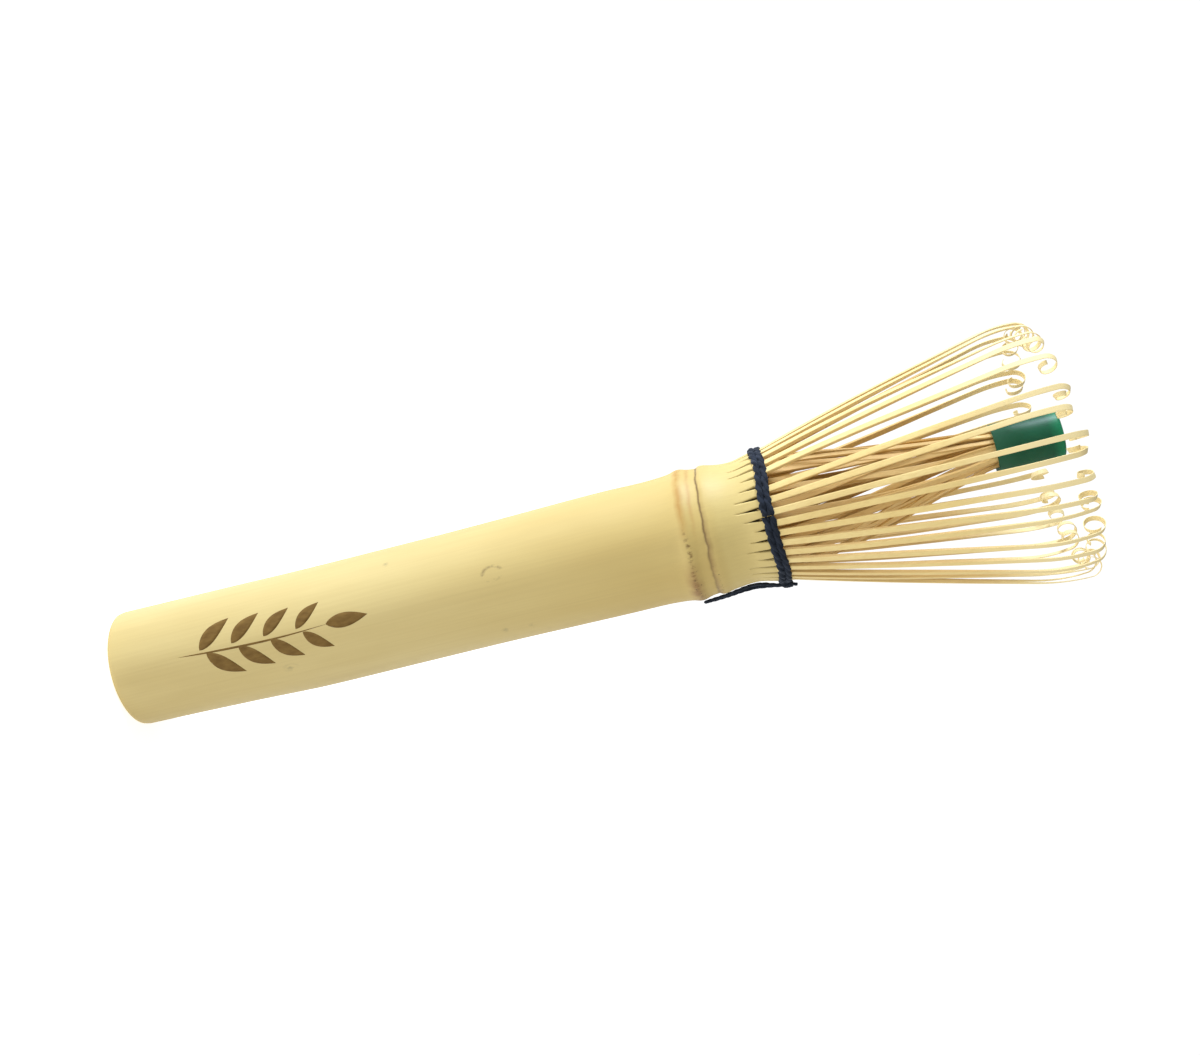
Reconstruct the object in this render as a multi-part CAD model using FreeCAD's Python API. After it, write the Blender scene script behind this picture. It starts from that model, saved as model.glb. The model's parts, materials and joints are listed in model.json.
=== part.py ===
import FreeCAD, Part
import math
import os

# A bamboo tea whisk, standing on the open end of its handle.
# Millimetres. The origin is the centre of the handle's bottom face, and +Z runs up the axis to the tines.
# An angle "round" the whisk starts at -Y and grows towards +X.

# ---- driving dimensions ----

BASE_RADIUS = 11.5          # the culm at its cut bottom end
BORE_RADIUS = 8.0           # the hollow of the culm below its node
CUP_RADIUS = 8.8            # the hollow of the culm above its node
WALL_FOOT_Z = 110.0         # underside of the node's inner wall
WALL_TOP_Z = 113.6          # top of the node's inner wall
CULM_TOP_Z = 126.2          # where the wall ends and its splints begin

# The outside of the culm, as (radius, height).
HANDLE_SIDE = [(BASE_RADIUS, 0.0), (11.38, 20.0), (11.5, 50.0), (11.58, 80.0), (11.82, 100.0), (11.86, 109.8)]
RIDGE_CREST = (12.47, 112.7)
RIDGE_TOP = (12.02, 114.9)
SCAR_FOOT = (11.9, 115.8)
SCAR_CREST = (12.2, 116.8)
SCAR_TOP = (11.92, 117.9)
WAIST = (11.42, 121.8)
CROWN_RIM = (12.3, CULM_TOP_Z)

TINE_SLOTS = 38             # evenly spaced places for the outer tines
MISSING_SLOT = 35           # one place is empty
FIRST_TINE_ANGLE = -4.0     # degrees round the whisk
TINE_WIDTH = 1.15
TINE_ROOT_THICKNESS = 0.64
TINE_TIP_THICKNESS = 0.3
TINE_ROOT_RADIUS = 11.68    # middle of the tine's thickness
TINE_ROOT_GAP = 0.2         # between the culm and a tine, which moves
# The middle line of an outer tine, from its root, as (length, turn outwards in degrees).
TINE_RUN = [
    (2.3, 0.0),             # upright, inside the binding
    (3.0, 21.5),            # thrown outwards over the binding
    (20.0, -8.0),
    (22.0, -1.4),
    (8.2, -17.0),           # shoulder of the curl
    (8.6, -232.0),          # the curl
]

INNER_COUNT = 40
INNER_GROUP = 5             # inner tines in one node
INNER_TWIST = 24.0          # degrees round, from root to tip
INNER_SHIFT_X = -2.0        # the gathered tips lie off the whisk's axis
# An inner tine's middle line, as (height, radius, width, thickness, share of the twist and the shift).
INNER_STATIONS = [
    (CULM_TOP_Z, 9.75, 0.66, 0.5, 0.0),
    (131.0, 9.6, 0.66, 0.45, 0.02),
    (146.0, 7.6, 0.6, 0.4, 0.4),
    (160.0, 5.0, 0.5, 0.36, 0.85),
    (169.5, 3.7, 0.42, 0.3, 1.0),
    (180.8, 3.7, 0.4, 0.28, 1.0),
]

CAP_RADIUS = 4.6
CAP_WALL = 0.42
CAP_FOOT_Z = 170.2
CAP_TOP_Z = 182.4
CAP_CORNER = 0.8            # rounding of its closed end

THREAD_RADIUS = 0.32        # one turn of the binding
THREAD_RING_RADIUS = 12.54
THREAD_HEIGHTS = {"binding_thread_lower": 127.85, "binding_thread_upper": 128.95}

KNOT_CENTRE = (13.2, 0.0, 128.4)
KNOT_RADII = (0.62, 1.1, 0.8)

LOOP_DIAMETER = 0.6
# The spare thread: out of the knot, down over the waist to the node, then back up outside itself to the knot.
LOOP_ROUTE = [
    (13.25, -0.36, 127.9),
    (13.0, -0.3, 125.4),
    (12.3, -0.2, 122.4),
    (12.3, -0.1, 119.4),
    (12.85, -0.15, 116.2),
    (13.1, -0.4, 114.0),
    (13.15, -0.5, 112.3),
    (14.1, 0.4, 112.3),
    (14.0, 0.45, 114.0),
    (13.75, 0.3, 117.1),
    (13.35, 0.3, 120.7),
    (13.3, 0.35, 124.4),
    (13.35, 0.38, 127.9),
]
BEND_SHARE = 0.45           # of the shorter run beside a bend


# ---- helpers ----

def save(name, shape):
    if not shape.isValid():
        raise ValueError(name + " is not a valid shape")
    shape.exportStep("parts/" + name + ".step")


def vector(radius, height):
    """A point of a half section, drawn in the XZ plane."""
    return FreeCAD.Vector(radius, 0.0, height)


def turned(shape, angle_round):
    """A shape made on +X, moved to its angle round the whisk."""
    copy = shape.copy()
    copy.rotate(FreeCAD.Vector(0, 0, 0), FreeCAD.Vector(0, 0, 1), angle_round - 90.0)
    return copy


def line(a, b):
    return Part.LineSegment(a, b).toShape()


def arc(a, through, b):
    return Part.Arc(a, through, b).toShape()


def spline(points):
    curve = Part.BSplineCurve()
    curve.interpolate(points)
    return curve.toShape()


# ---- culm: the handle, its node and the cup that the tines grow from ----

def make_culm():
    side = [vector(r, z) for r, z in HANDLE_SIDE]
    ridge_top = vector(*RIDGE_TOP)
    scar_foot = vector(*SCAR_FOOT)
    scar_top = vector(*SCAR_TOP)
    rim = vector(*CROWN_RIM)
    cup_mouth = vector(CUP_RADIUS, CULM_TOP_Z)
    cup_floor = vector(CUP_RADIUS, WALL_TOP_Z)
    wall_top = vector(0.0, WALL_TOP_Z)
    wall_foot = vector(0.0, WALL_FOOT_Z)
    bore_end = vector(BORE_RADIUS, WALL_FOOT_Z)
    bore_mouth = vector(BORE_RADIUS, 0.0)
    section = Part.Wire([
        spline(side),
        arc(side[-1], vector(*RIDGE_CREST), ridge_top),
        line(ridge_top, scar_foot),
        arc(scar_foot, vector(*SCAR_CREST), scar_top),
        arc(scar_top, vector(*WAIST), rim),
        line(rim, cup_mouth),
        line(cup_mouth, cup_floor),
        line(cup_floor, wall_top),
        line(wall_top, wall_foot),
        line(wall_foot, bore_end),
        line(bore_end, bore_mouth),
        line(bore_mouth, side[0]),
    ])
    culm = Part.Face(section).revolve(FreeCAD.Vector(0, 0, 0), FreeCAD.Vector(0, 0, 1), 360)
    save("culm", culm)


# ---- outer tines ----

def tine_stations():
    """Points along an outer tine as (radius, height, heading, share of the length)."""
    longest_step = 4.0
    widest_turn = 24.0
    total = sum(length for length, turn in TINE_RUN)
    radius = TINE_ROOT_RADIUS
    height = CULM_TOP_Z + TINE_ROOT_GAP
    heading = 0.0
    gone = 0.0
    stations = [(radius, height, heading, 0.0)]
    for length, turn in TINE_RUN:
        steps = math.ceil(max(length / longest_step, abs(turn) / widest_turn))
        for _ in range(steps):
            middle = heading + math.radians(turn) / steps / 2
            radius += length / steps * math.sin(middle)
            height += length / steps * math.cos(middle)
            heading += math.radians(turn) / steps
            gone += length / steps
            stations.append((radius, height, heading, gone / total))
    return stations


def make_outer_tine():
    """One outer tine on +X: a strip that thins towards its curled tip."""
    outside = []
    inside = []
    for radius, height, heading, share in tine_stations():
        thickness = TINE_ROOT_THICKNESS + (TINE_TIP_THICKNESS - TINE_ROOT_THICKNESS) * share
        across = vector(math.cos(heading), -math.sin(heading)) * (thickness / 2)
        middle = vector(radius, height)
        outside.append(middle + across)
        inside.append(middle - across)
    outline = Part.Wire([
        spline(outside),
        line(outside[-1], inside[-1]),
        spline(inside[::-1]),
        line(inside[0], outside[0]),
    ])
    face = Part.Face(outline)
    face.translate(FreeCAD.Vector(0, -TINE_WIDTH / 2, 0))
    return face.extrude(FreeCAD.Vector(0, TINE_WIDTH, 0))


def make_outer_tines():
    tine = make_outer_tine()
    number = 0
    for slot in range(TINE_SLOTS):
        if slot == MISSING_SLOT:
            continue
        number += 1
        angle_round = FIRST_TINE_ANGLE + slot * 360.0 / TINE_SLOTS
        save(f"outer_tine_{number:02d}", turned(tine, angle_round))


# ---- inner tines ----

def make_inner_tine(angle_round):
    """One inner tine: a tapered splint that leans in and twists to the gathered tips."""
    sections = []
    for height, radius, width, thickness, share in INNER_STATIONS:
        here = math.radians(angle_round + share * INNER_TWIST - 90.0)
        out = FreeCAD.Vector(math.cos(here), math.sin(here), 0)
        along = FreeCAD.Vector(-math.sin(here), math.cos(here), 0)
        middle = out * radius + FreeCAD.Vector(INNER_SHIFT_X * share, 0, height)
        half_out = out * (thickness / 2)
        half_along = along * (width / 2)
        corners = [
            middle - half_out - half_along,
            middle + half_out - half_along,
            middle + half_out + half_along,
            middle - half_out + half_along,
        ]
        sections.append(Part.makePolygon(corners + corners[:1]))
    return Part.makeLoft(sections, True, False)


def make_inner_tines():
    pitch = 360.0 / INNER_COUNT
    for group in range(INNER_COUNT // INNER_GROUP):
        first = group * INNER_GROUP
        tines = [make_inner_tine((first + i) * pitch) for i in range(INNER_GROUP)]
        save(f"inner_tines_{group + 1}", Part.makeCompound(tines))


# ---- cap over the gathered tips ----

def rounded_post(radius, foot, top, corner):
    section = Part.Wire([
        line(vector(0.0, foot), vector(radius, foot)),
        line(vector(radius, foot), vector(radius, top - corner)),
        arc(
            vector(radius, top - corner),
            vector(radius - corner * (1 - math.sqrt(0.5)), top - corner * (1 - math.sqrt(0.5))),
            vector(radius - corner, top),
        ),
        line(vector(radius - corner, top), vector(0.0, top)),
        line(vector(0.0, top), vector(0.0, foot)),
    ])
    return Part.Face(section).revolve(FreeCAD.Vector(0, 0, 0), FreeCAD.Vector(0, 0, 1), 360)


def make_cap():
    outside = rounded_post(CAP_RADIUS, CAP_FOOT_Z, CAP_TOP_Z, CAP_CORNER)
    inside = rounded_post(CAP_RADIUS - CAP_WALL, CAP_FOOT_Z - 1.0, CAP_TOP_Z - CAP_WALL, CAP_CORNER - CAP_WALL)
    cap = outside.cut(inside)
    cap.translate(FreeCAD.Vector(INNER_SHIFT_X, 0, 0))
    save("tip_cap", cap)


# ---- binding thread, its knot and its spare loop ----

def make_binding():
    for name, height in THREAD_HEIGHTS.items():
        ring = Part.makeTorus(THREAD_RING_RADIUS, THREAD_RADIUS, FreeCAD.Vector(0, 0, height))
        save(name, ring)


def make_knot():
    ball = Part.makeSphere(1.0)
    stretch = FreeCAD.Matrix()
    stretch.scale(*KNOT_RADII)
    knot = ball.transformGeometry(stretch)
    knot.translate(FreeCAD.Vector(*KNOT_CENTRE))
    return knot


def cord_path(points):
    """Straight runs joined by tangent arcs, each as large as its runs allow."""
    edges = []
    start = points[0]
    for before, corner, after in zip(points, points[1:], points[2:]):
        back = before - corner
        ahead = after - corner
        half_turn = (math.pi - back.getAngle(ahead)) / 2
        reach = BEND_SHARE * min(back.Length, ahead.Length)
        radius = reach / math.tan(half_turn)
        back.normalize()
        ahead.normalize()
        inwards = back + ahead
        inwards.normalize()
        first = corner + back * reach
        last = corner + ahead * reach
        through = corner + inwards * (radius / math.cos(half_turn) - radius)
        edges.append(line(start, first))
        edges.append(arc(first, through, last))
        start = last
        print("bend radius", round(radius, 2), "turn", round(math.degrees(2 * half_turn), 1))
    edges.append(line(start, points[-1]))
    return Part.Wire(edges)


def make_loop(knot):
    route = [FreeCAD.Vector(*point) for point in LOOP_ROUTE]
    path = cord_path(route)
    radius = LOOP_DIAMETER / 2
    section = Part.Wire(Part.makeCircle(radius, route[0], route[1] - route[0]))
    tube = path.makePipeShell([section], True, False)
    expected = math.pi * radius ** 2 * path.Length
    print("loop length", round(path.Length, 2), "volume", round(tube.Volume, 3), "expected", round(expected, 3))
    save("thread_loop", tube.cut(knot))


os.makedirs("parts", exist_ok=True)
make_culm()
make_outer_tines()
make_inner_tines()
make_cap()
make_binding()
the_knot = make_knot()
save("thread_knot", the_knot)
make_loop(the_knot)
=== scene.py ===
import json
import math
import random

import bpy
from mathutils import Matrix, Vector, noise


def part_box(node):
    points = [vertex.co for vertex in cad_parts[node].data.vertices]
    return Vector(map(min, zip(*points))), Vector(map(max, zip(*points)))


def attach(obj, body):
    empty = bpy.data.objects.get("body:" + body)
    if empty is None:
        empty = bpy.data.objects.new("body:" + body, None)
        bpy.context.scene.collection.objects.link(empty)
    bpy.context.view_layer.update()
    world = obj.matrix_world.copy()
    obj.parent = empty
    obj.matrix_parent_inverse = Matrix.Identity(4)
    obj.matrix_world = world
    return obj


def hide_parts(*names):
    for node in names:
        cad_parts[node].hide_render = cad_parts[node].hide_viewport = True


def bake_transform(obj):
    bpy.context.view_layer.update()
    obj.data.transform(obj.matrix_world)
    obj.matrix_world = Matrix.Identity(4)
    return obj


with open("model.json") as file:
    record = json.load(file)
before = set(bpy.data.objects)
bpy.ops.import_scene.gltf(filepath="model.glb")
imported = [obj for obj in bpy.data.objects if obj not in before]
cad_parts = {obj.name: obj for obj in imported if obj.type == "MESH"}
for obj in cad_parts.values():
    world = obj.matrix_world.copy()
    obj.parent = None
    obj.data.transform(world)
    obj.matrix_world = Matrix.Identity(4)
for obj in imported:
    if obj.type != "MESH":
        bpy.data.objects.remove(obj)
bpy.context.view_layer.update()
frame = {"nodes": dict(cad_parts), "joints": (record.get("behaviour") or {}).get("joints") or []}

# The looks of a bamboo tea whisk that stands on the open end of its handle, with its tines up.
# Shapes are worked out in millimetres, and new_piece() turns them into metres.
# An angle "round" the whisk starts at -Y and grows towards +X.

MM = 0.001
FULL_TURN = 2 * math.pi


# ---- places taken from the frame ----

def node_box(node):
    """Lowest and highest corner of a CAD node, in millimetres."""
    low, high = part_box(node)
    return Vector(low) / MM, Vector(high) / MM


hinges = [joint for joint in frame["joints"] if joint["type"] == "hinge"]
inner_nodes = sorted(name for name in frame["nodes"] if name.startswith("inner_tines_"))

CAP_LOW, CAP_HIGH = node_box("tip_cap")
CAP_AXIS_X = (CAP_LOW.x + CAP_HIGH.x) / 2
CAP_RADIUS = (CAP_HIGH.x - CAP_LOW.x) / 2
THREAD_LOW = node_box("binding_thread_lower")[0].z
THREAD_HIGH = node_box("binding_thread_upper")[1].z
KNOT_LOW, KNOT_HIGH = node_box("thread_knot")

TINE_SLOTS = 38             # even places round the whisk, one of them empty
PITCH = FULL_TURN / TINE_SLOTS


def angle_round(hinge):
    """Where a tine stands: its hinge turns about the tangent there."""
    return math.atan2(hinge["axis"][1], hinge["axis"][0])


FIRST_ANGLE = angle_round(hinges[0])


def outwards(angle):
    return Vector((math.sin(angle), -math.cos(angle), 0))


def tangent(angle):
    return Vector((math.cos(angle), math.sin(angle), 0))


def mix(a, b, share):
    return a + (b - a) * share


def smooth_step(low, high, value):
    t = min(max((value - low) / (high - low), 0.0), 1.0)
    return t * t * (3 - 2 * t)


# ---- meshes ----

def new_piece(name, points, faces, materials, body, face_slots=None, sharp_edges=(), values=None):
    """A mesh object from points in millimetres. values holds named numbers, one per point, for materials."""
    mesh = bpy.data.meshes.new(name)
    mesh.from_pydata([tuple(c * MM for c in point) for point in points], [], faces)
    for material in materials:
        mesh.materials.append(material)
    mesh.polygons.foreach_set("use_smooth", [True] * len(mesh.polygons))
    if face_slots:
        mesh.polygons.foreach_set("material_index", face_slots)
    for label, numbers in (values or {}).items():
        attribute = mesh.attributes.new(label, "FLOAT", "POINT")
        attribute.data.foreach_set("value", numbers)
    if sharp_edges:
        marked = {frozenset(pair) for pair in sharp_edges}
        flags = [frozenset(edge.vertices) in marked for edge in mesh.edges]
        mesh.attributes.new("sharp_edge", "BOOLEAN", "EDGE").data.foreach_set("value", flags)
    mesh.update()
    piece = bpy.data.objects.new(name, mesh)
    bpy.context.scene.collection.objects.link(piece)
    if body:
        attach(piece, body)
    return piece


class Sweep:
    """Closed strips and yarns, each a section carried along stations, gathered into one mesh."""

    def __init__(self):
        self.points = []
        self.faces = []
        self.slots = []
        self.sharp = []
        self.tones = []
        self.tips = []

    def add(self, rings, closed=False, side_slots=None, corners=(), tone=0.5, tips=None):
        """tips holds one number for each ring, 1 where a strip is shaved thinnest."""
        first = len(self.points)
        count = len(rings[0])
        for ring in rings:
            self.points.extend(ring)
        self.tones.extend([tone] * (count * len(rings)))
        for tip in tips or [0.0] * len(rings):
            self.tips.extend([tip] * count)
        rows = len(rings) if closed else len(rings) - 1
        for row in range(rows):
            here = first + row * count
            there = first + (row + 1) % len(rings) * count
            for i in range(count):
                j = (i + 1) % count
                self.faces.append((here + i, here + j, there + j, there + i))
                self.slots.append(side_slots[i] if side_slots else 0)
            for i in corners:
                self.sharp.append((here + i, there + i))
        if not closed:
            last = first + (len(rings) - 1) * count
            self.faces.append(tuple(first + i for i in reversed(range(count))))
            self.faces.append(tuple(last + i for i in range(count)))
            self.slots.extend([max(side_slots) if side_slots else 0] * 2)

    def piece(self, name, materials, body):
        return new_piece(name, self.points, self.faces, materials, body,
                         face_slots=self.slots, sharp_edges=self.sharp,
                         values={"tone": self.tones, "tip": self.tips})


# ---- marks on the culm ----

RIDGE_Z = 112.7             # the lower of the node's two rings
SCAR_Z = 116.42             # the dark line at the foot of the upper one
NODE_RADIUS = 12.2
RING_TILT = 0.5             # the rings stand this much higher on -X
# Faint marks on the -Y side, as (x, z, half width, half height, strength).
BUD_MARK = (-2.0, 76.7, 1.3, 1.8, 0.9)
SMUDGES = [
    (-8.4, 56.5, 0.7, 0.8, 0.8),
    (6.2, 34.6, 0.9, 1.9, 0.7),
    (8.9, 75.7, 0.6, 0.8, 0.7),
    (9.2, 81.0, 0.6, 1.0, 0.7),
]


# ---- node materials ----

# A Mix node has sockets of the same name for each kind of data, so its colour sockets go by number.
MIX_SHARE, MIX_COLOUR_A, MIX_COLOUR_B = 0, 6, 7
MIX_COLOUR_OUT = 2


class Nodes:
    """A short way to write a material's node tree."""

    def __init__(self, name, roughness, specular=0.5):
        self.material = bpy.data.materials.new(name)
        self.material.use_nodes = True
        self.tree = self.material.node_tree
        self.shader = self.tree.nodes["Principled BSDF"]
        self.shader.inputs["Roughness"].default_value = roughness
        self.shader.inputs["Specular IOR Level"].default_value = specular
        self.place = self.tree.nodes.new("ShaderNodeTexCoord").outputs["Object"]

    def link(self, source, target):
        if isinstance(source, (int, float, tuple)):
            target.default_value = source
        else:
            self.tree.links.new(source, target)

    def stretched(self, scale):
        """The place on the object, scaled by three numbers per metre."""
        node = self.tree.nodes.new("ShaderNodeMapping")
        self.link(self.place, node.inputs["Vector"])
        node.inputs["Scale"].default_value = scale
        return node.outputs["Vector"]

    def noise(self, scale, detail=3.0, roughness=0.55):
        node = self.tree.nodes.new("ShaderNodeTexNoise")
        self.link(self.stretched(scale), node.inputs["Vector"])
        node.inputs["Scale"].default_value = 1.0
        node.inputs["Detail"].default_value = detail
        node.inputs["Roughness"].default_value = roughness
        return node.outputs["Fac"]

    def cells(self, scale, randomness=1.0):
        node = self.tree.nodes.new("ShaderNodeTexVoronoi")
        self.link(self.stretched(scale), node.inputs["Vector"])
        node.inputs["Scale"].default_value = 1.0
        node.inputs["Randomness"].default_value = randomness
        return node.outputs["Distance"]

    def value(self, label):
        node = self.tree.nodes.new("ShaderNodeAttribute")
        node.attribute_name = label
        return node.outputs["Fac"]

    def reach(self, source, low, high, to_low=0.0, to_high=1.0):
        """source from low to high, as to_low to to_high."""
        node = self.tree.nodes.new("ShaderNodeMapRange")
        self.link(source, node.inputs["Value"])
        node.inputs["From Min"].default_value = low
        node.inputs["From Max"].default_value = high
        node.inputs["To Min"].default_value = to_low
        node.inputs["To Max"].default_value = to_high
        return node.outputs["Result"]

    def axis(self, name):
        """The place on the object along one axis, in metres."""
        node = self.tree.nodes.new("ShaderNodeSeparateXYZ")
        self.link(self.place, node.inputs[0])
        return node.outputs[name]

    def math(self, operation, a, b=0.0):
        node = self.tree.nodes.new("ShaderNodeMath")
        node.operation = operation
        self.link(a, node.inputs[0])
        self.link(b, node.inputs[1])
        return node.outputs["Value"]

    def times(self, a, b):
        return self.math("MULTIPLY", a, b)

    def spot(self, x, z, half_x, half_z):
        """Distance from a spot seen along Y, given in millimetres, where 1 is its edge."""
        node = self.tree.nodes.new("ShaderNodeMapping")
        self.link(self.place, node.inputs["Vector"])
        node.inputs["Location"].default_value = (-x / half_x, 0.0, -z / half_z)
        node.inputs["Scale"].default_value = (1 / (half_x * MM), 0.0, 1 / (half_z * MM))
        length = self.tree.nodes.new("ShaderNodeVectorMath")
        length.operation = "LENGTH"
        self.link(node.outputs["Vector"], length.inputs[0])
        return length.outputs["Value"]

    def band(self, height, middle, half_width, strength=1.0):
        """strength at a height, fading to nothing half_width above and below it, in millimetres."""
        away = self.math("ABSOLUTE", self.math("SUBTRACT", height, middle * MM))
        return self.reach(away, 0.0, half_width * MM, strength, 0.0)

    def blend(self, share, a, b):
        """Colour a where share is 0 and colour b where it is 1."""
        node = self.tree.nodes.new("ShaderNodeMix")
        node.data_type = "RGBA"
        self.link(share, node.inputs[MIX_SHARE])
        self.link(a, node.inputs[MIX_COLOUR_A])
        self.link(b, node.inputs[MIX_COLOUR_B])
        return node.outputs[MIX_COLOUR_OUT]

    def bump(self, height, distance, strength=1.0, under=None):
        node = self.tree.nodes.new("ShaderNodeBump")
        node.inputs["Distance"].default_value = distance
        node.inputs["Strength"].default_value = strength
        self.link(height, node.inputs["Height"])
        if under is not None:
            self.link(under, node.inputs["Normal"])
        return node.outputs["Normal"]

    def finish(self, colour, normal=None, roughness=None):
        self.link(colour, self.shader.inputs["Base Color"])
        if normal is not None:
            self.link(normal, self.shader.inputs["Normal"])
        if roughness is not None:
            self.link(roughness, self.shader.inputs["Roughness"])
        return self.material


def rgb(red, green, blue):
    return (red, green, blue, 1.0)


def culm_colour(n, fibre, blotches):
    """Pale at the foot, deeper towards the node and paler again above it, with darker fibres."""
    foot = n.blend(blotches, rgb(0.630, 0.495, 0.196), rgb(0.580, 0.443, 0.164))
    node = n.blend(blotches, rgb(0.590, 0.432, 0.130), rgb(0.545, 0.385, 0.110))
    colour = n.blend(n.reach(n.axis("Z"), 0.055, 0.122), foot, node)
    waist = n.reach(n.axis("Z"), SCAR_Z * MM, (SCAR_Z + 3.0) * MM, 0.0, 0.7)
    colour = n.blend(waist, colour, rgb(0.635, 0.500, 0.180))
    return n.blend(n.reach(fibre, 0.4, 0.8, 0.0, 0.22), colour, rgb(0.46, 0.33, 0.11))


def with_small_marks(n, colour):
    """The broken ring of a bud's scar, and a few smudges."""
    front = n.reach(n.axis("Y"), 0.0, -0.002)
    *place, strength = BUD_MARK
    from_rim = n.math("ABSOLUTE", n.math("SUBTRACT", n.spot(*place), 1.0))
    rim = n.reach(from_rim, 0.0, 0.3, strength, 0.0)
    broken = n.reach(n.noise((900, 900, 700), detail=2), 0.42, 0.6)
    colour = n.blend(n.times(n.times(rim, front), broken), colour, rgb(0.30, 0.21, 0.07))
    uneven = n.reach(n.noise((900, 900, 500), detail=3), 0.4, 0.62)
    for *place, strength in SMUDGES:
        smudge = n.reach(n.spot(*place), 0.2, 1.0, strength, 0.0)
        colour = n.blend(n.times(n.times(smudge, front), uneven), colour, rgb(0.28, 0.22, 0.09))
    return colour


def ring_height(n):
    """Height on the culm, measured along rings that lean and wander a little."""
    wobble = n.math("SUBTRACT", n.noise((260, 260, 0.1), detail=3), 0.5)
    height = n.math("ADD", n.axis("Z"), n.times(n.axis("X"), RING_TILT / NODE_RADIUS))
    return n.math("ADD", height, n.times(wobble, 1.1 * MM))


def with_ring_stains(n, colour):
    """Stains on the rings: orange, a broken brown line and rust on the ridge, and the scar's dark line. The
    brown line is the stain with painted shade, darker on the shaded +X side, and the groove's brown is
    painted shade too.
    """
    height = ring_height(n)
    orange_side = n.reach(n.axis("X"), 0.002, -0.006)
    shade_side = n.reach(n.axis("X"), -0.004, 0.003)
    rust_side = n.reach(n.axis("X"), 0.004, 0.0095)
    patch = n.reach(n.noise((330, 330, 200), detail=4), 0.34, 0.56, 0.4, 1.0)
    crumbs = n.reach(n.noise((1500, 1500, 700), detail=3), 0.45, 0.62)

    orange = n.times(n.times(n.band(height, RIDGE_Z, 1.05, 1.15), patch), orange_side)
    colour = n.blend(orange, colour, rgb(0.46, 0.262, 0.052))
    orange = n.times(n.times(n.band(height, RIDGE_Z + 1.9, 0.55, 0.6), patch), orange_side)
    colour = n.blend(orange, colour, rgb(0.47, 0.25, 0.06))
    # Painted shade: the ridge's stain, painted about half as bright as the orange on the shaded +X side.
    # This is partly stain and partly painted shade.
    shaded_stain = n.times(n.times(n.band(height, RIDGE_Z + 0.2, 0.6, 1.5), crumbs), shade_side)
    colour = n.blend(shaded_stain, colour, rgb(0.215, 0.125, 0.025))
    rust = n.times(n.times(n.band(height, RIDGE_Z, 1.8, 1.2), patch), rust_side)
    colour = n.blend(rust, colour, rgb(0.32, 0.175, 0.045))

    # Painted shade: a brown line in the groove above the scar line. It is faint on the lit -X side and five
    # times as strong on the shaded +X side.
    groove_shade_side = n.reach(n.axis("X"), -0.009, 0.003, 0.2, 1.0)
    groove_mark_and_shade = n.times(n.band(height, SCAR_Z + 0.2, 0.8, 0.85), groove_shade_side)
    groove_mark_and_shade = n.times(groove_mark_and_shade, n.reach(patch, 0.4, 1.0, 0.6, 1.0))
    colour = n.blend(groove_mark_and_shade, colour, rgb(0.260, 0.155, 0.030))
    line_side = n.reach(n.axis("X"), 0.0, 0.009, 1.0, 0.5)
    line = n.times(n.band(height, SCAR_Z - 0.1, 0.32), line_side)
    colour = n.blend(line, colour, rgb(0.140, 0.075, 0.008))

    near_rings = n.math("MAXIMUM", n.band(height, SCAR_Z + 0.5, 1.0), n.band(height, RIDGE_Z + 0.4, 1.2))
    pits = n.reach(n.cells((2100, 2100, 2100)), 0.2, 0.34, 1.0, 0.0)
    pits = n.times(n.times(pits, n.reach(near_rings, 0.25, 0.5)), n.times(rust_side, crumbs))
    return n.blend(pits, colour, rgb(0.055, 0.035, 0.005))


def culm_skin():
    """The culm's pale skin, with its fibre, soft blotches, marks and stains, and painted shade: its slits
    are painted near black.
    """
    n = Nodes("culm_skin", roughness=0.58, specular=0.6)
    n.shader.inputs["IOR"].default_value = 1.5
    fibre = n.noise((2400, 2400, 30), detail=4)
    blotch = n.noise((80, 80, 22), detail=3)
    colour = culm_colour(n, fibre, n.reach(blotch, 0.35, 0.7))
    colour = with_small_marks(n, colour)
    colour = with_ring_stains(n, colour)
    # Painted shade: the slits are coloured near black for the shadow inside them, darkest where they are
    # deepest and widest.
    colour = n.blend(n.value("slit"), colour, rgb(0.06, 0.037, 0.006))
    roughness = n.reach(blotch, 0.3, 0.7, 0.52, 0.64)
    return n.finish(colour, n.bump(fibre, 0.00002, 0.5), roughness)


def culm_cut():
    """Cut and hollow faces of the culm: paler wood with the dark dots of the fibre bundles."""
    n = Nodes("culm_cut", roughness=0.7, specular=0.25)
    dots = n.reach(n.cells((1500, 1500, 60)), 0.12, 0.3, 1.0, 0.0)
    grain = n.noise((900, 900, 40), detail=3)
    colour = n.blend(grain, rgb(0.72, 0.56, 0.29), rgb(0.56, 0.41, 0.18))
    colour = n.blend(n.times(dots, 0.6), colour, rgb(0.28, 0.16, 0.07))
    return n.finish(colour, n.bump(grain, 0.00005, 0.6))


# Partly the pale of shaved bamboo, and partly painted light: the tips are made paler to stand in for the
# light that comes through them.
THIN_PALE_AND_LIT_THROUGH = rgb(0.84, 0.69, 0.35)        # bamboo shaved so thin that light comes through


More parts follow.
